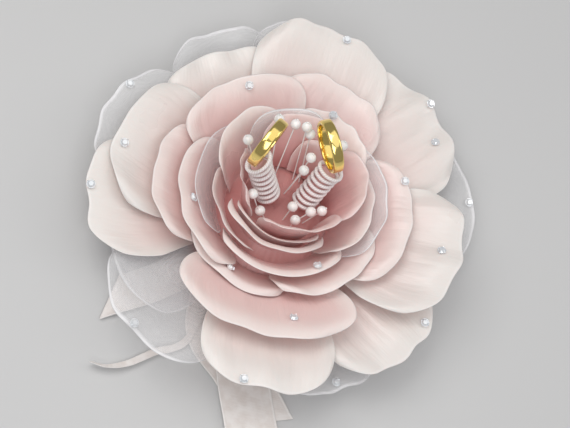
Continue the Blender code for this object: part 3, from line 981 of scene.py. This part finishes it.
@dataclass
class Rhinestones:
    """Faceted stones in silver cups with four claws, set on the petals near their rims."""

    rose: Rose
    radius: float = 1.9 * MM
    facets: int = 10
    # petal, place across from -1 to 1, place along from 0 to 1
    places: tuple[tuple[str, float, float], ...] = (
        ("satin_outer_top", -0.18, 0.96),
        ("organza_outer_upper_left", -0.30, 0.94),
        ("satin_mid_upper_left", -0.16, 0.87),
        ("satin_outer_upper_right", 0.10, 0.97),
        ("satin_inner_back_right", 0.30, 0.95),
        ("satin_outer_upper_left", 0.22, 0.89),
        ("satin_outer_upper_right", -0.36, 0.84),
        ("satin_inner_far_left", 0.0, 0.75),
        ("satin_mid_right", 0.62, 0.96),
        ("satin_outer_left", -0.08, 0.96),
        ("organza_outer_right", -0.14, 0.95),
        ("satin_inner_front_low", 0.50, 0.85),
        ("satin_outer_lower_right", 0.10, 0.82),
        ("satin_mid_lower_left", 0.02, 0.74),
        ("satin_mid_bottom", 0.32, 0.69),
        ("satin_outer_bottom_right", 0.50, 0.90),
        ("organza_outer_lower_left", -0.04, 0.95),
        ("organza_outer_bottom_right", -0.06, 0.91),
        ("satin_outer_bottom", -0.34, 0.95),
    )

    def stone(self) -> bmesh.types.BMesh:
        """Make a stone and its cup, about the origin, with the table up.

        Returns:
            The mesh, with the stone's faces as material 0 and the cup's as material 1.
        """
        shape = bmesh.new()
        crown = bmesh.ops.create_cone(shape, cap_ends=True, cap_tris=False, segments=self.facets,
                                      radius1=self.radius * 0.84, radius2=self.radius * 0.50,
                                      depth=self.radius * 0.42)["verts"]
        table = [vert for vert in crown if vert.co.z > 0.0]
        half_facet = Matrix.Rotation(math.pi / self.facets, 3, "Z")
        bmesh.ops.rotate(shape, cent=(0, 0, 0), matrix=half_facet, verts=table)
        bmesh.ops.translate(shape, verts=crown, vec=(0.0, 0.0, self.radius * 0.62))
        bmesh.ops.triangulate(shape, faces=[face for face in shape.faces if len(face.verts) == 4])
        stone_faces = set(shape.faces)
        cup = bmesh.ops.create_cone(shape, cap_ends=True, segments=20, radius1=self.radius * 0.62,
                                    radius2=self.radius * 0.92, depth=self.radius * 0.46)["verts"]
        bmesh.ops.translate(shape, verts=cup, vec=(0.0, 0.0, self.radius * 0.23))
        for claw in range(4):
            angle = math.tau * (claw + 0.5) / 4
            out = Vector((math.cos(angle), math.sin(angle), 0.0))
            prong = bmesh.ops.create_cone(shape, cap_ends=True, segments=8, radius1=self.radius * 0.13,
                                          radius2=self.radius * 0.09, depth=self.radius * 0.62)["verts"]
            lean = UP.rotation_difference((UP * 1.5 - out).normalized()).to_matrix()
            bmesh.ops.rotate(shape, cent=(0, 0, 0), matrix=lean, verts=prong)
            bmesh.ops.translate(shape, verts=prong, vec=(out * 0.76 + UP * 0.64) * self.radius)
        for face in shape.faces:
            face.material_index = 0 if face in stone_faces else 1
        return shape

    def build(self, finishes: Finishes) -> None:
        """Set every stone.

        Args:
            finishes: The finishes to dress it with.
        """
        for number, (name, across, along) in enumerate(self.places, 1):
            point, facing = self.rose.petals[name].normal(across, along)
            shape = stand(self.stone(), point + facing * (0.2 * MM), facing)
            piece = finish_mesh(f"rhinestone_{number:02d}", shape, 12.0)
            finishes.dress(piece, "crystal", "silver")
            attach(piece, FLOWER)
        log.info("rhinestones: %d", len(self.places))


@dataclass
class Stamens:
    """Pearl beads on thin wires that stand round the holders."""

    family: LeafFamily
    pearl_radius: float = 2.1 * MM
    wire_radius: float = 0.28 * MM
    lift: float = 0.5 * MM
    # name, whether it stands for a CAD node, foot, pearl's centre with its height above the cushion (mm)
    rows: tuple[tuple[str, bool, tuple[float, float], tuple[float, float, float]], ...] = (
        ("back_left", True, (-7.5, 9.5), (-17.3, 18.0, 23.0)),
        ("back", True, (-3.5, 11.5), (-5.0, 26.5, 25.0)),
        ("back_middle", True, (9.0, 11.0), (7.8, 22.0, 23.0)),
        ("back_right", True, (12.5, 7.5), (20.0, 17.2, 25.0)),
        ("left", True, (-8.0, -3.5), (-13.6, -0.1, 13.0)),
        ("front_left", True, (-5.5, -6.0), (-9.4, -4.6, 7.0)),
        ("front_middle", True, (1.5, -5.5), (3.6, -2.6, 8.0)),
        ("front", True, (4.0, -9.0), (4.8, -7.6, 6.5)),
        ("front_right", True, (9.5, -6.5), (15.3, -4.0, 8.5)),
        ("far_back", False, (-1.0, 13.0), (2.5, 26.5, 21.5)),
        ("ring_side", False, (6.5, 12.0), (5.6, 23.6, 26.0)),
        ("holder_side", False, (4.5, 7.5), (8.4, 13.4, 20.0)),
        ("holder_front", False, (2.6, 5.6), (6.2, 9.2, 17.0)),
        ("right_front", False, (5.5, -6.5), (10.4, -5.0, 9.5)),
    )

    def build(self, finishes: Finishes) -> None:
        """Build each stamen as a wire, a bead and the wire's turned-over end.

        Args:
            finishes: The finishes to dress it with.
        """
        for name, in_frame, foot, tip in self.rows:
            floor = UP * self.family.cushion_top()
            base = Vector((*foot, 0.0)) * MM + floor + UP * self.lift
            pearl = Vector(tip) * MM + floor
            axis = (pearl - base).normalized()
            length = (pearl - base).length
            shape = bmesh.new()
            bead = bmesh.ops.create_uvsphere(shape, u_segments=28, v_segments=18,
                                             radius=self.pearl_radius)["verts"]
            bmesh.ops.translate(shape, verts=bead, vec=(0.0, 0.0, length))
            bead_faces = set(shape.faces)
            wire = bmesh.ops.create_cone(shape, cap_ends=True, segments=10, radius1=self.wire_radius,
                                         radius2=self.wire_radius, depth=length)["verts"]
            bmesh.ops.translate(shape, verts=wire, vec=(0.0, 0.0, 0.5 * length))
            end = bmesh.ops.create_uvsphere(shape, u_segments=12, v_segments=8,
                                            radius=self.wire_radius * 1.7)["verts"]
            bmesh.ops.translate(shape, verts=end, vec=(0.0, 0.0, length + self.pearl_radius))
            for face in shape.faces:
                face.material_index = 0 if face in bead_faces else 1
            piece = finish_mesh(f"pearl_stamen_{name}", stand(shape, base, axis), 50.0)
            finishes.dress(piece, "pearl", "wire")
            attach(piece, FLOWER)
            if in_frame:
                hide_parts(f"stamen_{name}")
        log.info("stamens: %d", len(self.rows))


# ---------------------------------------------------------------- rings and their holders


@dataclass
class RingHolder:
    """A satin stem wound with white cord in an open coil, whose widened mouth carries a wedding ring."""

    family: LeafFamily
    side: str
    foot: tuple[float, float]
    mouth: tuple[float, float, float]
    ring_normal: tuple[float, float, float]
    ring_way: tuple[float, float, float]
    stand_out: float
    coil_radius: float = 4.4 * MM
    cord_radius: float = 0.75 * MM
    turns: int = 8
    mouth_start: float = 0.8
    mouth_stretch: float = 1.3
    core_drop: float = 3.2 * MM
    ring_radii: tuple[float, float] = (8.8 * MM, 10.5 * MM)
    ring_width: float = 4.3 * MM

    def __post_init__(self) -> None:
        """Work out the holder's own directions."""
        self.base = Vector((*self.foot, 0.0)) * MM + UP * (self.family.cushion_top() + CLEARANCE)
        lean = Vector((self.mouth[0] - self.foot[0], self.mouth[1] - self.foot[1], 0.0)).normalized()
        top = Vector(self.mouth) * MM + UP * self.family.cushion_top() - lean * self.coil_radius
        self.axis = (top - self.base).normalized()
        self.length = (top - self.base).length
        self.along = self.axis.cross(Vector(self.ring_normal)).normalized()
        self.across = self.axis.cross(self.along)
        self.tilt = math.sqrt(1.0 - self.axis.z ** 2) / self.axis.z
        opening = self.coil_radius * self.mouth_stretch - self.cord_radius
        sunk = math.sqrt(self.ring_radii[1] ** 2 - opening ** 2)
        self.ring_centre = top + Vector(self.ring_way).normalized() * (sunk + self.stand_out * MM)

    def coil_centre(self, share: np.ndarray) -> np.ndarray:
        """Follow the cord's centre line, from its foot at 0 to the mouth at 1.

        Args:
            share: Positions along the cord.

        Returns:
            The points, as (n, 3).
        """
        lift = self.coil_radius * self.tilt + self.cord_radius
        angle = math.tau * self.turns * share
        opening = np.clip((share - self.mouth_start) / (1.0 - self.mouth_start), 0.0, 1.0)
        stretch = 1.0 + (self.mouth_stretch - 1.0) * opening
        height = lift + (self.length - lift) * share
        return (np.array(self.base)[None] + height[:, None] * np.array(self.axis)[None]
                + (self.coil_radius * stretch * np.cos(angle))[:, None] * np.array(self.along)[None]
                + (self.coil_radius * np.sin(angle))[:, None] * np.array(self.across)[None])

    def coil_surface(self, across: np.ndarray, along: np.ndarray) -> np.ndarray:
        """Place the cord's surface.

        Args:
            across: Positions round the cord, from -1 to 1.
            along: Positions up the coil, from 0 to 1.

        Returns:
            The points, as (n, 3).
        """
        centre = self.coil_centre(along)
        ahead = self.coil_centre(along + 0.001) - self.coil_centre(along - 0.001)
        ahead /= np.linalg.norm(ahead, axis=1)[:, None]
        outward = centre - np.array(self.base)[None]
        outward -= (outward @ np.array(self.axis))[:, None] * np.array(self.axis)[None]
        outward -= np.sum(outward * ahead, axis=1)[:, None] * ahead
        outward /= np.linalg.norm(outward, axis=1)[:, None]
        upward = np.cross(ahead, outward)
        angle = math.pi * across
        ends = 1.0 - 0.35 * (smoothstep(along, 0.996, 1.0) + 1.0 - smoothstep(along, 0.0, 0.004))
        radius = self.cord_radius * ends
        return centre + radius[:, None] * (np.cos(angle)[:, None] * outward + np.sin(angle)[:, None] * upward)

    def build_coil(self, finishes: Finishes) -> None:
        """Build the cord.

        Args:
            finishes: The finishes to dress it with.
        """
        length = math.tau * self.coil_radius * self.turns
        shape = cloth_grid(12, self.turns * 30, self.coil_surface, (math.tau * self.cord_radius, length),
                           closed=True)
        bmesh.ops.holes_fill(shape, edges=[edge for edge in shape.edges if edge.is_boundary])
        bmesh.ops.recalc_face_normals(shape, faces=shape.faces)
        piece = finish_mesh(f"{self.side}_coil_cord", shape, 70.0)
        finishes.dress(piece, "cord")
        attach(piece, FLOWER)
        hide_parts(f"{self.side}_holder_coil")

    def build_stem(self, finishes: Finishes) -> None:
        """Build the satin-covered stem inside the cord, pleated lengthwise, with a hollow top.

        Args:
            finishes: The finishes to dress it with.
        """
        radius = self.coil_radius - self.cord_radius - CLEARANCE
        top = self.length - self.core_drop
        low = radius * self.tilt

        def stem(across: np.ndarray, along: np.ndarray) -> np.ndarray:
            """Place the stem's surface.

            Args:
                across: Positions round the stem, from -1 to 1.
                along: Positions up it, from 0 to 1.

            Returns:
                The points, as (n, 3).
            """
            angle = math.pi * across
            edge = 0.10
            height = np.where(along < 1.0 - edge, low + (top - low) * along / (1.0 - edge),
                              top - 0.8 * MM * smoothstep(along, 1.0 - edge, 1.0))
            shrink = 1.0 - smoothstep(along, 1.0 - edge, 1.0) * 0.86
            pleat = 1.0 - 0.05 * (0.5 + 0.5 * np.cos(9.0 * angle)) * (1.0 - smoothstep(along, 0.85, 1.0))
            wide = radius * shrink * pleat
            return (np.array(self.base)[None] + height[:, None] * np.array(self.axis)[None]
                    + (wide * np.cos(angle))[:, None] * np.array(self.along)[None]
                    + (wide * np.sin(angle))[:, None] * np.array(self.across)[None])

        shape = cloth_grid(54, 30, stem, (math.tau * radius, top), closed=True)
        bmesh.ops.holes_fill(shape, edges=[edge for edge in shape.edges if edge.is_boundary])
        bmesh.ops.recalc_face_normals(shape, faces=shape.faces)
        piece = finish_mesh(f"{self.side}_stem", shape, 60.0)
        finishes.dress(piece, "satin_stem")
        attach(piece, FLOWER)
        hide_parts(f"{self.side}_holder_core")

    def build_ring(self, finishes: Finishes) -> None:
        """Build the court-shaped wedding band: domed outside, eased inside, with rolled edges.

        Args:
            finishes: The finishes to dress it with.
        """
        inner, outer = self.ring_radii
        half = 0.5 * self.ring_width
        outline = []
        for step in range(13):
            angle = math.pi * step / 12
            outline.append((outer - 0.75 * MM * (1.0 - math.sin(angle)) ** 1.6, -half * math.cos(angle)))
        outline += [(inner + 0.12 * MM, 0.86 * half), (inner, 0.45 * half), (inner, -0.45 * half),
                    (inner + 0.12 * MM, -0.86 * half)]
        shape = spin_outline(outline, 112, closed=True)
        stand(shape, self.ring_centre, Vector(self.ring_normal).normalized())
        piece = finish_mesh(f"{self.side}_wedding_band", shape, 60.0)
        finishes.dress(piece, "gold")
        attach(piece, f"ring_{self.side}")
        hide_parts(f"{self.side}_ring")

    def build(self, finishes: Finishes) -> None:
        """Build the holder and its ring.

        Args:
            finishes: The finishes to dress it with.
        """
        self.build_stem(finishes)
        self.build_coil(finishes)
        self.build_ring(finishes)
        log.info("%s holder: %.0f mm of coil", self.side, self.length / MM)


# ---------------------------------------------------------------- base and ribbons


@dataclass
class Base:
    """The felt disc with its ring of stitches, and the padded base that the petals are sewn to."""

    family: LeafFamily
    disc_radius: float = 36.0 * MM
    stitches: int = 40
    # the surface is drawn together to this radius before it is closed
    hole_radius: float = 4.0 * MM

    def build_disc(self, finishes: Finishes) -> None:
        """Build the felt disc, with a rounded edge.

        Args:
            finishes: The finishes to dress it with.
        """
        edge = 0.9 * MM
        thick = self.family.disc_thickness
        outline = [(0.0, 0.0), (0.4 * self.disc_radius, 0.0), (self.disc_radius - edge, 0.0)]
        outline += [(self.disc_radius - edge + edge * math.sin(a), 0.5 * thick - 0.5 * thick * math.cos(a))
                    for a in (math.pi * step / 8 for step in range(1, 8))]
        outline += [(self.disc_radius - edge, thick), (0.4 * self.disc_radius, thick), (0.0, thick)]
        piece = finish_mesh("felt_disc", spin_outline(outline, 96), 60.0)
        finishes.dress(piece, "felt")
        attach(piece, FLOWER)
        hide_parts("backing_disc")

    def build_stitches(self, finishes: Finishes) -> None:
        """Build the whip stitches that hold the disc to the padded base, as short rounded bars over its edge.

        Args:
            finishes: The finishes to dress it with.
        """
        shape = bmesh.new()
        for number in range(self.stitches):
            angle = math.tau * number / self.stitches
            out = Vector((math.cos(angle), math.sin(angle), 0.0))
            bar = bmesh.ops.create_uvsphere(shape, u_segments=8, v_segments=6, radius=1.0)["verts"]
            bmesh.ops.scale(shape, verts=bar, vec=(0.28 * MM, 0.28 * MM, 1.5 * MM))
            slant = Vector((-out.y, out.x, 0.0)) * 0.35 - out * 0.25 + UP
            lean = UP.rotation_difference(slant)
            bmesh.ops.rotate(shape, cent=(0, 0, 0), matrix=lean.to_matrix(), verts=bar)
            bmesh.ops.translate(shape, verts=bar, vec=out * (self.disc_radius - 0.15 * MM) + UP * (2.5 * MM))
        piece = finish_mesh("edge_stitches", shape, 60.0)
        finishes.dress(piece, "thread")
        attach(piece, FLOWER)

    def build_cushion(self, finishes: Finishes) -> None:
        """Build the padded base: gathered satin over filling, pulled in at its top and bottom edges.

        Args:
            finishes: The finishes to dress it with.
        """
        bottom = self.family.disc_thickness + CLEARANCE
        outline = [(self.hole_radius, bottom), (self.family.edge_radius - 1.0 * MM, bottom)]
        outline += [self.family.slope_point(share) for share in (0.0, 0.5, 1.0)]
        outline.append((self.hole_radius, self.family.cushion_top()))
        lengths = np.concatenate([[0.0], np.cumsum([math.dist(a, b) for a, b in zip(outline, outline[1:])])])
        radii, heights = (np.array([row[axis] for row in outline]) for axis in (0, 1))

        def padding(across: np.ndarray, along: np.ndarray) -> np.ndarray:
            """Place the padded base's surface.

            Args:
                across: Positions round the base, from -1 to 1.
                along: Positions from its underside to its top, from 0 to 1.

            Returns:
                The points, as (n, 3).
            """
            angle = math.pi * across
            travelled = along * lengths[-1]
            radius = np.interp(travelled, lengths, radii)
            height = np.interp(travelled, lengths, heights)
            gathers = 0.25 * MM * np.sin(46.0 * angle + 2.0 * np.sin(3.0 * angle))
            radius = radius - 0.3 * MM + gathers * smoothstep(radius, 10.0 * MM, 30.0 * MM)
            flat = np.stack([radius * np.cos(angle), radius * np.sin(angle)], axis=-1)
            return np.concatenate([flat + self.family.lean_shift(height), height[:, None]], axis=-1)

        shape = cloth_grid(276, 36, padding, (math.tau * self.family.edge_radius, lengths[-1]), closed=True)
        bmesh.ops.holes_fill(shape, edges=[edge for edge in shape.edges if edge.is_boundary])
        bmesh.ops.recalc_face_normals(shape, faces=shape.faces)
        piece = finish_mesh("padded_base", shape, 60.0)
        finishes.dress(piece, "satin_base")
        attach(piece, FLOWER)
        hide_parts("base_cushion")

    def build(self, finishes: Finishes) -> None:
        """Build the base.

        Args:
            finishes: The finishes to dress it with.
        """
        self.build_disc(finishes)
        self.build_stitches(finishes)
        self.build_cushion(finishes)
        log.info("base")


@dataclass
class RibbonTail:
    """A satin ribbon tail that leaves the disc's rim and lies along a route, its free end cut at a slant.

    Its sizes and its route are in millimetres, and its azimuth in degrees.
    """

    node: str
    width: float
    underside: float
    azimuth: float
    route: tuple[tuple[float, float], ...]
    slant: float
    disc_radius: float = 36.0
    thickness: float = 0.28

    def __post_init__(self) -> None:
        """A narrow ribbon twists on to its edge towards its end."""
        self.twist = math.radians(62.0) if self.width < 10.0 else 0.0

    def guide(self) -> np.ndarray:
        """List the route's points in metres; the route is counted from where the ribbon leaves the disc.

        Returns:
            The points, as (n, 2).
        """
        angle = math.radians(self.azimuth)
        start = (self.disc_radius + 0.3) * math.cos(angle), (self.disc_radius + 0.3) * math.sin(angle)
        return np.array([start] + [(start[0] + x, start[1] + y) for x, y in self.route]) * MM

    def centre(self, share: np.ndarray) -> np.ndarray:
        """Follow a smooth curve through the route.

        Args:
            share: Positions along the ribbon, from 0 to 1.

        Returns:
            The points, as (n, 2).
        """
        guide = self.guide()
        place = np.clip(share, 0.0, 1.0) * (len(guide) - 1)
        index = np.minimum(place.astype(int), len(guide) - 2)
        t = (place - index)[:, None]
        before, start = guide[np.maximum(index - 1, 0)], guide[index]
        end, after = guide[index + 1], guide[np.minimum(index + 2, len(guide) - 1)]
        return 0.5 * (2 * start + (end - before) * t + (2 * before - 5 * start + 4 * end - after) * t ** 2
                      + (3 * start - before - 3 * end + after) * t ** 3)

    def length(self) -> float:
        """Return the ribbon's length."""
        points = self.centre(np.linspace(0.0, 1.0, 101))
        return float(np.sum(np.linalg.norm(np.diff(points, axis=0), axis=1)))

    def place(self, across: np.ndarray, along: np.ndarray) -> np.ndarray:
        """Place the ribbon's points.

        Args:
            across: Positions across the ribbon, from -1 to 1.
            along: Positions along it, from 0 at the disc to 1 at its free end.

        Returns:
            The points, as (n, 3).
        """
        centre = self.centre(along)
        ahead = self.centre(along + 0.01) - self.centre(along - 0.01)
        angle = math.radians(self.azimuth)
        outward = np.array([math.cos(angle), math.sin(angle)])
        near = (1.0 - smoothstep(along, 0.0, 0.12))[:, None]
        ahead = ahead / np.linalg.norm(ahead, axis=1)[:, None] * (1.0 - near) + outward[None] * near
        ahead /= np.linalg.norm(ahead, axis=1)[:, None]
        side = np.stack([-ahead[:, 1], ahead[:, 0]], axis=-1)
        turn = self.twist * smoothstep(along, 0.3, 1.0)
        half = 0.5 * self.width * MM * across * np.cos(turn)
        cut = self.slant * MM * across * smoothstep(along, 0.6, 1.0)
        flat = centre + side * half[:, None] + ahead * cut[:, None]
        lift = np.abs(np.sin(9.0 * along + 0.8 * across)) * smoothstep(along, 0.05, 0.3)
        curl = smoothstep(np.abs(across), 0.7, 1.0) * 0.3
        height = (self.underside + 0.2) * MM + (0.55 * lift + curl) * min(1.0, self.width / 12.0) * MM
        height = height + 0.5 * self.width * MM * (1.0 + across) * np.sin(turn)
        return np.concatenate([flat, height[:, None]], axis=-1)

    def build(self, finishes: Finishes) -> None:
        """Build the ribbon.

        Args:
            finishes: The finishes to dress it with.
        """
        length = self.length()
        columns = max(4, round(self.width))
        rows = round(length / (1.5 * MM))
        shape = cloth_grid(columns, rows, self.place, (self.width * MM, length))
        piece = finish_mesh(f"{self.node}_satin", shape, 70.0)
        thicken(piece, self.thickness * MM)
        finishes.dress(piece, "ribbon")
        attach(piece, FLOWER)
        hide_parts(self.node)
        self.declare()
        log.info("%s: %.0f mm", self.node, length / MM)

    def declare(self) -> None:
        """Work out a narrow ribbon's middle line; nothing is done with it.
        """
        if self.width >= 10.0:
            return
        path = [(*point, (self.underside + 0.2) * MM) for point in self.centre(np.linspace(0.0, 1.0, 60))]


# ---------------------------------------------------------------- studio


@dataclass
class Studio:
    """A pale floor, soft lights and the camera."""

    aim: tuple[float, float, float] = (0.0028, -0.0027, 0.0198)
    elevation: float = math.radians(64.0)
    heading: float = math.radians(-38.0)
    roll: float = math.radians(38.0)
    distance: float = 0.60
    lens: float = 95.9

    def build_camera(self) -> None:
        """Make the camera: it looks down on the rose and is rolled, so that +X stays level in the picture."""
        back = Vector((math.sin(self.heading) * math.cos(self.elevation),
                       -math.cos(self.heading) * math.cos(self.elevation), math.sin(self.elevation)))
        level = Vector((math.cos(self.heading), math.sin(self.heading), 0.0))
        upright = back.cross(level)
        right = math.cos(self.roll) * level + math.sin(self.roll) * upright
        top = back.cross(right)
        camera = bpy.data.objects.new("camera", bpy.data.cameras.new("camera"))
        camera.data.sensor_width = 36.0
        camera.data.lens = self.lens
        camera.data.clip_start = 0.02
        bpy.context.scene.collection.objects.link(camera)
        place = Vector(self.aim) + back * self.distance
        camera.matrix_world = Matrix.Translation(place) @ Matrix((right, top, back)).transposed().to_4x4()
        bpy.context.scene.camera = camera

    def build_light(self, name: str, place: tuple[float, float, float], size: float, power: float,
                    colour: tuple[float, float, float]) -> None:
        """Make one square soft light that faces the rose.

        Args:
            name: The light's name.
            place: Where it hangs.
            size: The side of the square in metres.
            power: Its power in watts.
            colour: Its colour.
        """
        lamp = bpy.data.lights.new(name, "AREA")
        lamp.size = size
        lamp.energy = power
        lamp.color = colour
        light = bpy.data.objects.new(name, lamp)
        light.location = place
        light.rotation_euler = (Vector(self.aim) - Vector(place)).to_track_quat("-Z", "Y").to_euler()
        bpy.context.scene.collection.objects.link(light)

    def build(self) -> None:
        """Build the floor, lights and camera."""
        shape = bmesh.new()
        bmesh.ops.create_grid(shape, x_segments=2, y_segments=2, size=1.5)
        floor = finish_mesh("floor", shape)
        tree = ShaderTree("floor_paper")
        grey = tree.blend(tree.noise(3.0), rgb(0.60, 0.60, 0.60), rgb(0.64, 0.64, 0.635))
        tree.shade(Base_Color=grey, Roughness=0.9)
        floor.data.materials.append(tree.material)
        world = bpy.data.worlds.new("studio")
        world.use_nodes = True
        world.node_tree.nodes["Background"].inputs["Color"].default_value = rgb(0.90, 0.91, 0.94)
        world.node_tree.nodes["Background"].inputs["Strength"].default_value = 0.30
        bpy.context.scene.world = world
        self.build_light("key", (-0.30, 0.16, 0.60), 0.45, 1.65, (1.0, 0.98, 0.96))
        self.build_light("overhead", (0.10, 0.12, 0.66), 0.65, 1.0, (1.0, 0.99, 0.97))
        self.build_light("side", (0.46, 0.02, 0.40), 0.30, 0.4, (1.0, 0.98, 0.97))
        self.build_light("front", (-0.12, -0.36, 0.52), 0.36, 1.1, (0.97, 0.98, 1.0))
        bpy.context.scene.view_settings.view_transform = "Standard"
        self.build_camera()


# ---------------------------------------------------------------- the whole object


# side, foot, mouth, the ring's axis, the way from the mouth to the ring's centre, how far the ring stands out;
# the lengths are in millimetres
HOLDERS = (
    ("left", (-3.2, 2.2), (-17.2, 12.9, 22.3), (0.789, -0.615, 0.0), (1.0, 2.2, 11.0), 2.5),
    ("right", (8.5, 0.5), (19.2, 12.0, 22.3), (0.954, 0.244, 0.186), (-3.6, 4.6, 9.8), 2.3),
)

# node, width, height of the underside, azimuth in degrees, route, slant of the free end; lengths in millimetres
RIBBONS = (
    ("ribbon_tail_long", 21.0, 1.4, -100, ((-6.2, -22.2), (-3.7, -49.2), (-0.2, -80.2)), 6),
    ("ribbon_tail_under", 21.0, 0.3, -125, ((-3.2, -16.3), (6.8, -32.3), (17.3, -52.3)), 4),
    ("ribbon_tail_left", 15.0, 0.8, -149, ((-14.9, -8.3), (-33.3, -14.9)), 7),
    ("ribbon_tail_narrow", 3.0, 1.3, -131,
     ((-10.2, -22.6), (-23.4, -28.0), (-33.9, -32.8), (-42.0, -34.1), (-48.2, -32.6)), 1),
)


def main() -> None:
    """Build the studio and the ring bearer pillow."""
    logging.basicConfig(level=logging.INFO, format="%(message)s")
    Studio().build()
    finishes = make_finishes()
    family = LeafFamily()
    Base(family).build(finishes)
    for row in RIBBONS:
        RibbonTail(*row).build(finishes)
    rose = Rose(family)
    rose.build(finishes)
    Rhinestones(rose).build(finishes)
    for row in HOLDERS:
        RingHolder(family, *row).build(finishes)
    Stamens(family).build(finishes)


if __name__ == "__main__":
    main()
